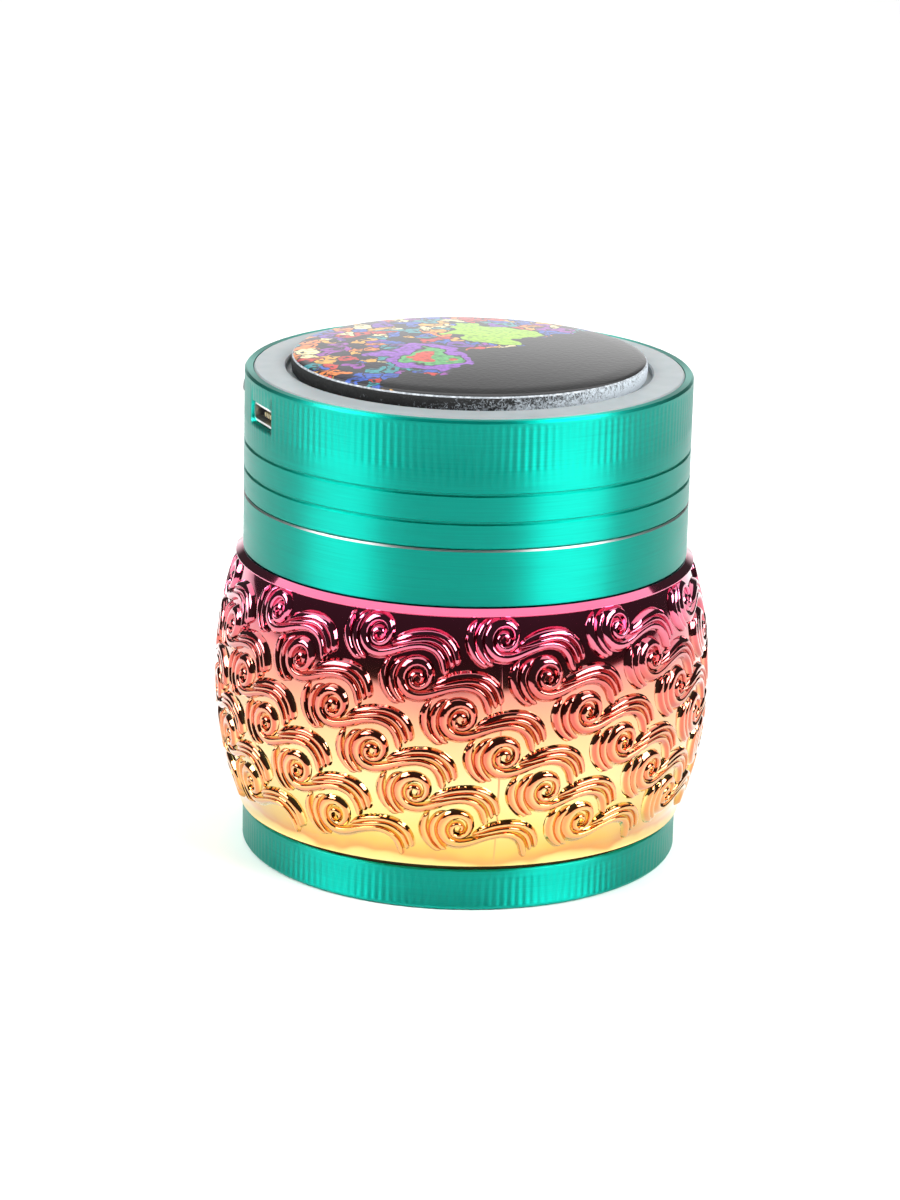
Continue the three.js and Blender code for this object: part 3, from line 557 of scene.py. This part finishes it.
# the mould's parting line shows as a fine upright fin on the right of the front
SEAM_TURN = 8.9 / 180 * math.pi * FLAT_RADIUS
SEAM_BEAD = 32.35
seam = bmesh.new()
ridge(seam, [(SEAM_TURN, z, 0.13) for z in (6.9, 16, 25, 34, BEAD_LOW + 0.3)], 30, 0.14, 0)
for vert in seam.verts:
    angle = vert.co.x / FLAT_RADIUS
    reach = (max(ground(vert.co.y), SEAM_BEAD if vert.co.y > BEAD_LOW else 0) + vert.co.z) * MM
    vert.co = (reach * math.sin(angle), -reach * math.cos(angle), vert.co.y * MM)
bmesh.ops.remove_doubles(seam, verts=seam.verts[:], dist=0.001 * MM)
bmesh.ops.recalc_face_normals(seam, faces=seam.faces[:])
new_piece("jar_seam", seam, "jar", [plating])
new_piece("jar_barrel", drum, "jar", [plating], ["jar_drum"])
new_piece("jar_waves", waves, "jar", [plating], sharp=60)

# ---------------------------------------------------------------- sieve
# A disc of plain-woven stainless mesh that rests on a ledge in the jar, and the open ring of spring
# wire that snaps into a groove over it.


def woven_wire(name):
    """Bright round wires crossing over and under; the holes between them are painted near black,
    painted shade. Real mesh has a 0.15 mm pitch; 0.6 mm is drawn so that it shows."""
    made, tree, shade = finish(name, Metallic=0.9, Roughness=0.32)
    place = add(tree, "ShaderNodeTexCoord")
    bands = []
    for axis in ("X", "Y"):
        wave = add(
            tree, "ShaderNodeTexWave", {"wave_type": "BANDS", "bands_direction": axis},
            Vector=place.outputs["Object"], Scale=math.pi / 10 / (0.6 * MM),
        )
        bands.append(wave.outputs["Fac"])
    top = add(tree, "ShaderNodeMath", {"operation": "MAXIMUM"}, dict(enumerate(bands)))
    shades = add(tree, "ShaderNodeValToRGB", Fac=top.outputs["Value"])
    # the near black of the holes is painted shade
    set_stops(shades, [(0.42, "#1B1A18"), (0.62, "#C6C6C2")])
    tree.links.new(shades.outputs["Color"], shade.inputs["Base Color"])
    bump = add(
        tree, "ShaderNodeBump", Height=top.outputs["Value"], Strength=0.8, Distance=0.12 * MM,
    )
    tree.links.new(bump.outputs["Normal"], shade.inputs["Normal"])
    return made


dress(woven_wire("woven_stainless_mesh"), "sieve_screen")
# drawn spring wire keeps fine die marks and a grey shine
dress(
    mottled("drawn_spring_steel", "#9A9A98", "#C2C2C0", 0.8, 0.005, Metallic=1, Roughness=0.3),
    "sieve_clip",
)

# ---------------------------------------------------------------- grinding chamber
# A plain turned ring with a toothed, drilled deck, a collar that goes up into the lid and a
# screwed neck that goes down into the jar. Its top edge is chamfered bare after anodising.

CHAMBER_LOW = 43.7
CHAMBER_TOP = 51.6
BODY_RADIUS = 31.5
COLLAR_OUTER = 29
COLLAR_INNER = 27
DECK_TOP = 47
DECK_LOW = 45
COLLAR_TOP = 59.1
NECK_LOW = 38.6
HUB = 6
HUB_TOP = 56
MAGNET_POCKET = 4.1

chamber = bmesh.new()
spun(chamber, [
    (0, DECK_LOW), (NECK_INNER, DECK_LOW), (NECK_INNER, NECK_LOW), (NECK_CORE - 0.3, NECK_LOW),
    (NECK_CORE, NECK_LOW + 0.3), (NECK_CORE, CHAMBER_LOW), (31.38, CHAMBER_LOW),
    (BODY_RADIUS, 43.82), (BODY_RADIUS, 51.36), (31.3, CHAMBER_TOP), (COLLAR_OUTER, CHAMBER_TOP),
    (COLLAR_OUTER, COLLAR_TOP - 0.3), (COLLAR_OUTER - 0.3, COLLAR_TOP), (COLLAR_INNER, COLLAR_TOP),
    (COLLAR_INNER, DECK_TOP), (HUB, DECK_TOP), (HUB, HUB_TOP), (MAGNET_POCKET, HUB_TOP),
    (MAGNET_POCKET, 53), (0, 53),
], TURN_STEPS)
# the faces of the top's outer chamfer take the bare metal
for face in chamber.faces:
    middle = face.calc_center_median() / MM
    if middle.z > 51.37 and 31.1 < middle.xy.length:
        face.material_index = 1
screw_ridge(chamber, NECK_CORE, 1, UPPER_SCREW, SCREW_TURNS, 0)


def peg(bm, reach, turn, low, high, width, depth, sides, taper=1):
    """A prism standing at a distance from the axis. Width is across the way to it."""
    made = bmesh.ops.create_cone(
        bm, cap_ends=True, segments=sides, radius1=MM, radius2=taper * MM, depth=(high - low) * MM,
    )["verts"]
    away = Matrix.Translation(Vector((reach, 0, (low + high) / 2)) * MM)
    place = Matrix.Rotation(turn, 4, "Z") @ away
    bmesh.ops.transform(bm, verts=made, matrix=place @ Matrix.Diagonal((depth, width, 1, 1)))
    return made


def peg_ring(bm, reach, count, first, **shape):
    """A ring of like pegs, the first at an angle in degrees."""
    for number in range(count):
        peg(bm, reach, math.radians(first) + number * math.tau / count, **shape)


INNER_RING, OUTER_RING = 14.4, 22.4
drops = bmesh.new()
drop_hole = {"low": DECK_LOW - 1, "high": DECK_TOP + 1, "width": 2, "depth": 2, "sides": 28}
peg_ring(drops, INNER_RING, 11, 0, **drop_hole)
peg_ring(drops, OUTER_RING, 18, 0, **drop_hole)
# the same turned metal with no colour on it
bare = turned_anodising("bare_turned_aluminium", "#B4B8B8")
new_piece(
    "chamber_ring", chamber, "chamber", [teal, bare], ["chamber_shell"],
    holes=drops,
)

lower_teeth = bmesh.new()
TOOTH = {"width": 1.9, "depth": 1.5, "sides": 4, "taper": 0.8}
lower_tooth = {"low": DECK_TOP - 0.1, "high": COLLAR_TOP, **TOOTH}
peg_ring(lower_teeth, 10.4, 6, 30, **lower_tooth)
peg_ring(lower_teeth, 18.4, 10, 18, **lower_tooth)
break_edges(lower_teeth, 0.14)
new_piece("chamber_teeth", lower_teeth, "chamber", [teal])
# the two magnets that hold the lid on are nickel plated: a warm bright metal, slightly clouded
dress(
    mottled("nickel_plating", "#B4B0A6", "#CECAC0", 1.5, 0.004, Metallic=1, Roughness=0.16),
    "chamber_magnet", "lid_magnet",
)

# ---------------------------------------------------------------- slip ring
# A thin white nylon washer between the chamber and the lid that lets the lid turn smoothly.

# moulded nylon is a milky white with a soft shine
nylon = mottled(
    "white_nylon", "#DEDCD2", "#E9E7E0", 1.2, 0.01, Roughness=0.45, Subsurface_Weight=0.1,
)
SLIP_INNER, SLIP_OUTER = 29.25, 30.55
slip = bmesh.new()
slip_low, slip_high = (corner.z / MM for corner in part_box("slip_ring"))
spun(slip, [
    (SLIP_INNER, slip_low), (SLIP_OUTER, slip_low),
    (SLIP_OUTER, slip_high), (SLIP_INNER, slip_high),
], TURN_STEPS)
new_piece("slip_washer", slip, "slip_ring", [nylon], ["slip_ring"])

# ---------------------------------------------------------------- lid
# Turned from bar like the tray: a deep skirt with two grooves, a fluted grip band, a deck with
# hanging teeth, and a pocket in the top for the light.

LID_LOW = 51.75
LID_TOP = 69.38
SKIRT_INNER = 29.25
LID_DECK_LOW = 60.3
POCKET_FLOOR = 62
POCKET_RADIUS = 29
RIM_INNER = 30.3
HANGING_TIPS = 48.2
LEDGE = 67.7
GROOVES = (59.2, 55.3)
GROOVE_FLOOR = BODY_RADIUS - 0.3
RECESS_RADIUS = 30.75
RECESS_TOP = 52.4

lid = bmesh.new()
grooves = []
for z in GROOVES:
    grooves += [
        (BODY_RADIUS, z + 0.28), (GROOVE_FLOOR, z + 0.1),
        (GROOVE_FLOOR, z - 0.1), (BODY_RADIUS, z - 0.28),
    ]
spun(lid, [
    (0, POCKET_FLOOR), (POCKET_RADIUS, POCKET_FLOOR), (POCKET_RADIUS, LEDGE), (RIM_INNER, LEDGE),
    (RIM_INNER, LID_TOP), (31.2, LID_TOP), (BODY_RADIUS, LID_TOP - 0.35),
    (BODY_RADIUS, 68.6), (BODY_RADIUS, 68.45), (BODY_RADIUS, 62.7), (BODY_RADIUS, 62.5), *grooves,
    (BODY_RADIUS, LID_LOW + 0.2), (31.3, LID_LOW), (RECESS_RADIUS, LID_LOW),
    (RECESS_RADIUS, RECESS_TOP), (SKIRT_INNER, RECESS_TOP), (SKIRT_INNER, LID_DECK_LOW),
    (HUB, LID_DECK_LOW), (HUB, 56.8), (MAGNET_POCKET, 56.8), (MAGNET_POCKET, 59.8), (0, 59.8),
], FLUTES * FLUTE_STEPS)
cut_flutes(lid, BODY_RADIUS, 62.6, 68.5)

PORT_TURN = math.radians(-65.7 - 90)
PORT_HEIGHT = 64.9
BUTTON_TURN = math.radians(-99.5 - 90)
WALL_REACH = 30.4
openings = bmesh.new()
slot = bmesh.ops.create_cube(openings, size=MM)["verts"]
bmesh.ops.scale(openings, verts=slot, vec=(4, 7.6, 3.2))
bmesh.ops.bevel(
    openings, geom=[e for e in openings.edges if abs(e.verts[0].co.x - e.verts[1].co.x) > MM],
    offset=1 * MM, affect="EDGES", segments=5, profile=0.5, material=-1,
)
bmesh.ops.translate(openings, verts=openings.verts[:], vec=(WALL_REACH * MM, 0, PORT_HEIGHT * MM))
bmesh.ops.rotate(openings, verts=openings.verts[:], matrix=Matrix.Rotation(PORT_TURN, 3, "Z"))
button_hole = bmesh.ops.create_cone(
    openings, cap_ends=True, segments=24, radius1=1 * MM, radius2=1 * MM, depth=4 * MM,
)["verts"]
to_wall = Matrix.Translation((WALL_REACH * MM, 0, PORT_HEIGHT * MM))
across_wall = Matrix.Rotation(BUTTON_TURN, 4, "Z") @ to_wall @ Matrix.Rotation(math.pi / 2, 4, "Y")
bmesh.ops.transform(openings, verts=button_hole, matrix=across_wall)
new_piece("lid_cap", lid, "lid", [teal], ["lid_shell"], holes=openings)

# made standing up like the deck's, then mirrored to hang from the lid's deck
upper_teeth = bmesh.new()
upper_tooth = {"low": -LID_DECK_LOW - 0.1, "high": -HANGING_TIPS, **TOOTH}
peg_ring(upper_teeth, INNER_RING, 8, 22.5, **upper_tooth)
peg_ring(upper_teeth, OUTER_RING, 12, 15, **upper_tooth)
bmesh.ops.scale(upper_teeth, verts=upper_teeth.verts[:], vec=(1, 1, -1))
bmesh.ops.recalc_face_normals(upper_teeth, faces=upper_teeth.faces[:])
break_edges(upper_teeth, 0.14)
new_piece("lid_teeth", upper_teeth, "lid", [teal])

# ---------------------------------------------------------------- light board
# A round circuit board screwed to the pocket's floor, with seven lamps round its edge, a charging
# chip, a flat lithium cell taped on top and two soldered leads.


def solder_mask(name):
    """Green lacquer on glass board, raised and paler over the copper tracks, which run in steps."""
    made, tree, shade = finish(name, Roughness=0.35, Coat_Weight=0.4, Coat_Roughness=0.15)
    place = add(tree, "ShaderNodeTexCoord")
    tracks = add(
        tree, "ShaderNodeTexBrick", {"offset": 0.5}, Vector=place.outputs["Object"],
        Scale=1 / (4 * MM), Mortar_Size=0.06, Mortar_Smooth=0.2, Color1=linear("#0E5A34"),
        Color2=linear("#10603A"), Mortar=linear("#2C8A54"),
    )
    tree.links.new(tracks.outputs["Color"], shade.inputs["Base Color"])
    bump = add(
        tree, "ShaderNodeBump", Height=tracks.outputs["Fac"], Strength=0.6, Distance=0.04 * MM,
    )
    tree.links.new(bump.outputs["Normal"], shade.inputs["Normal"])
    return made


dress(solder_mask("green_solder_mask"), "led_board")
# phosphor gel in a white cup: a pale yellow, cloudy face
dress(
    mottled(
        "phosphor_gel", "#E8D264", "#F4EBB4", 0.6, 0.01, Roughness=0.3, Coat_Weight=0.6,
        Coat_Roughness=0.1,
    ),
    *[f"led_{number}" for number in range(1, 8)],
)
# zinc-plated steel is grey with a faint blue to yellow cloud
dress(
    mottled("zinc_plated_steel", "#A2A9B0", "#B9B7AA", 0.7, 0.01, Metallic=1, Roughness=0.3),
    *[f"board_screw_{number}" for number in range(1, 4)],
)
# the cell's foil pouch is a dull silver and puckers a little over what is inside
dress(
    mottled("foil_pouch", "#A9ABAE", "#C4C6C8", 2.5, 0.12, Metallic=0.85, Roughness=0.38),
    "battery_cell",
)
# leads have soft silicone sleeves, red and black, slightly dusty
for colour, dark, light in (("red", "#A01A16", "#BC2A22"), ("black", "#121213", "#1F1F21")):
    sleeve = mottled(colour + "_lead_sleeve", dark, light, 0.5, 0.02, Roughness=0.5)
    dress(sleeve, "battery_lead_" + colour)
# moulded epoxy is black with a fine sparkle of its glass filler
dress(mottled("moulded_epoxy", "#131415", "#26282A", 0.12, 0.01, Roughness=0.6), "charge_chip")

# ---------------------------------------------------------------- charging port and light button
# A folded steel socket with a plastic tongue behind the slot, and a small moulded button in the
# round hole beside it, which presses a switch soldered to the board.

# folded tin-plated steel, bright with a soft haze
dress(
    mottled("tinned_shell", "#C9CBCC", "#E6E7E7", 0.8, 0.01, Metallic=1, Roughness=0.28),
    "usb_socket",
)


def contact_tongue(name):
    """Black plastic with five gilt contacts across it, 0.65 mm apart."""
    made, tree, shade = finish(name, Roughness=0.35)
    place = add(tree, "ShaderNodeTexCoord")
    along = add(
        tree, "ShaderNodeMapping", Vector=place.outputs["Object"],
        Rotation=(0, 0, -PORT_TURN),
    )
    stripes = add(
        tree, "ShaderNodeTexWave", {"wave_type": "BANDS", "bands_direction": "Y"},
        Vector=along.outputs["Vector"], Scale=math.pi / 10 / (0.65 * MM),
    )
    shades = add(tree, "ShaderNodeValToRGB", Fac=stripes.outputs["Fac"])
    set_stops(shades, [(0.66, "#17181A"), (0.76, "#D8C690")])
    tree.links.new(shades.outputs["Color"], shade.inputs["Base Color"])
    return made


dress(contact_tongue("contact_tongue"), "usb_tongue")
# spark-eroded moulded plastic: mid grey with a fine even grain
dress(
    mottled("moulded_button_plastic", "#7C8184", "#8C9194", 0.15, 0.01, Roughness=0.5),
    "light_button",
)
dress(
    mottled("moulded_switch_plastic", "#1B1C1E", "#2A2C2E", 0.15, 0.01, Roughness=0.5),
    "button_switch",
)

# ---------------------------------------------------------------- light ring
# A round guide moulded in acrylic that lies over the lamps. Only its outer ring shows round the
# disc; its face is blasted, so it is a cloudy grey when the lamps are off.

# blasted acrylic: cloudy, with light scattered a little way under its face
frosted = mottled(
    "frosted_acrylic", "#8B9395", "#93999B", 3, 0.01, Roughness=0.4, Subsurface_Weight=0.15,
    Subsurface_Scale=1 * MM,
)
DISC_LOW = 68.6
GUIDE_RADIUS = 30.2
GUIDE_INNER = 25.7
GUIDE_TOP = 69.5
guide = bmesh.new()
spun(guide, [
    (0, LEDGE), (GUIDE_RADIUS, LEDGE), (GUIDE_RADIUS, GUIDE_TOP - 0.2), (30.0, GUIDE_TOP),
    (25.9, GUIDE_TOP), (GUIDE_INNER, GUIDE_TOP - 0.2), (GUIDE_INNER, DISC_LOW), (0, DISC_LOW),
], TURN_STEPS)
new_piece("light_guide", guide, "lid", [frosted], ["light_ring"])

# ---------------------------------------------------------------- picture disc
# A stiff pad with a grained, domed top that carries a printed pattern of bright patches over its
# left and back, and is plain black at the front right. Its raw edge is cut and shows pale fibres,
# partly painted highlight, and the pale turn of its rim is painted highlight.


def inked(tree, value, low, high, under, over):
    """One colour laid over another where a value passes from low to high."""
    share = add(tree, "ShaderNodeMapRange", Value=value, From_Min=low, From_Max=high)
    return add(
        tree, "ShaderNodeMix", {"data_type": "RGBA"},
        {0: share.outputs["Result"], 6: under, 7: over},
    ).outputs[2]


CELL_INKS = [
    "#3459B4", "#1C1626", "#C0342E", "#E9D9A2", "#6E3CA4",
    "#E2803A", "#17141E", "#2F8C94", "#8E3C9C", "#D8A040",
]
OUTLINE_INK = linear("#15101C")
# round patches by their middle on the top, each with its rings from the outside in: where a ring
# starts and where it is full, in millimetres from the middle, and its ink
ROUND_PATCHES = [
    ((-6.6, -4.5, 0), [
        (7.9, 7.5, OUTLINE_INK), (7.3, 6.9, linear("#8A4CB4")), (4.6, 4.4, OUTLINE_INK),
        (4.1, 3.8, linear("#4FA05C")), (2.4, 2.1, linear("#C8402F")),
    ]),
    ((2.6, 10, 0), [(7.2, 6.8, OUTLINE_INK), (6.6, 6.2, linear("#96C42E"))]),
]
# the print ends on a slanting line; in front of it and to the right the pad is black
TOWARDS_PRINT = (-0.814, 0.58, 0)


def printed_pad(name):
    """Ink on a grained black pad: small bright cells with dark outlines, a lime patch and a violet
    ring, all with wavy borders."""
    made, tree, shade = finish(
        name, Roughness=0.4, Specular_IOR_Level=0.2, Coat_Weight=0.5, Coat_Roughness=0.14,
    )
    place = add(tree, "ShaderNodeTexCoord")
    flat = add(
        tree, "ShaderNodeMapping", Vector=place.outputs["Object"],
        Scale=(1 / MM, 1 / MM, 0),
    ).outputs["Vector"]

    def stirred(scale, reach):
        """The flat place with every point carried off by up to half of reach millimetres."""
        stir = add(tree, "ShaderNodeTexNoise", Vector=flat, Scale=scale, Detail=3.0)
        shift = add(
            tree, "ShaderNodeVectorMath", {"operation": "MULTIPLY_ADD"},
            {0: stir.outputs["Color"], 1: (reach, reach, 0), 2: (-reach / 2, -reach / 2, 0)},
        )
        return add(
            tree, "ShaderNodeVectorMath", {"operation": "ADD"},
            {0: flat, 1: shift.outputs["Vector"]},
        ).outputs["Vector"]

    wavy = stirred(0.3, 6)
    loose = stirred(0.14, 22)
    cells, borders = (
        add(
            tree, "ShaderNodeTexVoronoi", {"voronoi_dimensions": "2D", "feature": feature},
            Vector=wavy, Scale=0.42,
        )
        for feature in ("F1", "DISTANCE_TO_EDGE")
    )
    inks = add(tree, "ShaderNodeValToRGB", Fac=cells.outputs["Color"])
    inks.color_ramp.interpolation = "CONSTANT"
    set_stops(inks, [
        (0.2 + 0.6 * number / len(CELL_INKS), code) for number, code in enumerate(CELL_INKS)
    ])
    ink = inks.outputs["Color"]
    ink = inked(tree, borders.outputs["Distance"], 0.05, 0.075, OUTLINE_INK, ink)
    ink = inked(tree, cells.outputs["Distance"], 0.16, 0.2, OUTLINE_INK, ink)
    for middle, rings in ROUND_PATCHES:
        away = add(
            tree, "ShaderNodeVectorMath", {"operation": "DISTANCE"}, {0: loose, 1: middle},
        )
        for start, full, colour in rings:
            ink = inked(tree, away.outputs["Value"], start, full, ink, colour)
    side = add(
        tree, "ShaderNodeVectorMath", {"operation": "DOT_PRODUCT"}, {0: loose, 1: TOWARDS_PRINT},
    )
    top = inked(tree, side.outputs["Value"], -3.2, -2.9, linear("#09080A"), ink)
    grain = add(
        tree, "ShaderNodeTexNoise", Vector=place.outputs["Object"], Scale=1.5 / MM, Detail=2.0,
    )
    wear = inked(tree, grain.outputs["Fac"], 0.3, 0.6, linear("#B0B0B0"), linear("#FFFFFF"))
    tone = add(
        tree, "ShaderNodeMix", {"data_type": "RGBA", "blend_type": "MULTIPLY"},
        {0: 1, 6: top, 7: wear},
    )
    tree.links.new(tone.outputs[2], shade.inputs["Base Color"])
    bump = add(
        tree, "ShaderNodeBump", Height=grain.outputs["Fac"], Strength=0.8, Distance=0.06 * MM,
    )
    tree.links.new(bump.outputs["Normal"], shade.inputs["Normal"])
    return made


def cut_edge(name):
    """The pad's raw edge: black foam with pale, broken fibres, partly painted highlight, which
    grows thicker towards the right and lower down.
    """
    made, tree, shade = finish(name, Roughness=0.6)
    place = add(tree, "ShaderNodeTexCoord")
    fibres = add(
        tree, "ShaderNodeTexNoise", Vector=place.outputs["Object"],
        Scale=1.6 / MM, Detail=4.0, Roughness=0.75, Distortion=1.5,
    )
    axes = add(tree, "ShaderNodeSeparateXYZ", Vector=place.outputs["Object"])
    # painted highlight: the pale fibre spreads towards the right and lower down
    highlight_rightward = add(
        tree, "ShaderNodeMapRange", Value=axes.outputs["X"],
        From_Min=-12 * MM, From_Max=24 * MM, To_Min=-0.1, To_Max=0.3,
    )
    highlight_downward = add(
        tree, "ShaderNodeMapRange", Value=axes.outputs["Z"],
        From_Min=69.6 * MM, From_Max=70.8 * MM, To_Min=0.05, To_Max=-0.05,
    )
    drift = add(
        tree, "ShaderNodeMath", {"operation": "ADD"},
        {0: highlight_rightward.outputs["Result"], 1: highlight_downward.outputs["Result"]},
    )
    fibre_and_highlight = add(
        tree, "ShaderNodeMath", {"operation": "ADD"},
        {0: fibres.outputs["Fac"], 1: drift.outputs["Value"]},
    )
    colour = inked(
        tree, fibre_and_highlight.outputs["Value"], 0.56, 0.76, linear("#060607"), linear("#C9D2DA"),
    )
    tree.links.new(colour, shade.inputs["Base Color"])
    bump = add(
        tree, "ShaderNodeBump", Height=fibres.outputs["Fac"], Strength=0.8, Distance=0.25 * MM,
    )
    tree.links.new(bump.outputs["Normal"], shade.inputs["Normal"])
    return made


DISC_RADIUS = 25
DOME_LOW = 71.3
DOME_RISE = 1.1
disc = bmesh.new()
dome = [
    (DISC_RADIUS * share, DOME_LOW + DOME_RISE * (1 - share * share))
    for share in (0.96, 0.85, 0.7, 0.5, 0.25, 0)
]
spun(disc, [
    (0, DISC_LOW), (24.6, DISC_LOW), (24.9, 69), (DISC_RADIUS, 69.8), (DISC_RADIUS, 70.6),
    (24.93, 70.95), (24.75, 71.15), (24.5, 71.27), *dome,
], TURN_STEPS * 2)
# the wall takes the cut edge, and the turn of the rim takes a pale grey that is painted highlight
for face in disc.faces:
    middle = face.calc_center_median() / MM
    if middle.xy.length > 24 and middle.z < 71.2:
        face.material_index = 2 if middle.z > 71 else 1
# the turn of the pad's rim is a mottled pale grey: a painted highlight along the edge
rim_highlight = mottled("pad_rim_painted_highlight", "#7C8288", "#C6CCD2", 0.5, 0.03, Roughness=0.5)
new_piece(
    "art_disc", disc, "lid",
    [printed_pad("printed_pad"), cut_edge("cut_pad_edge"), rim_highlight], ["picture_disc"],
)
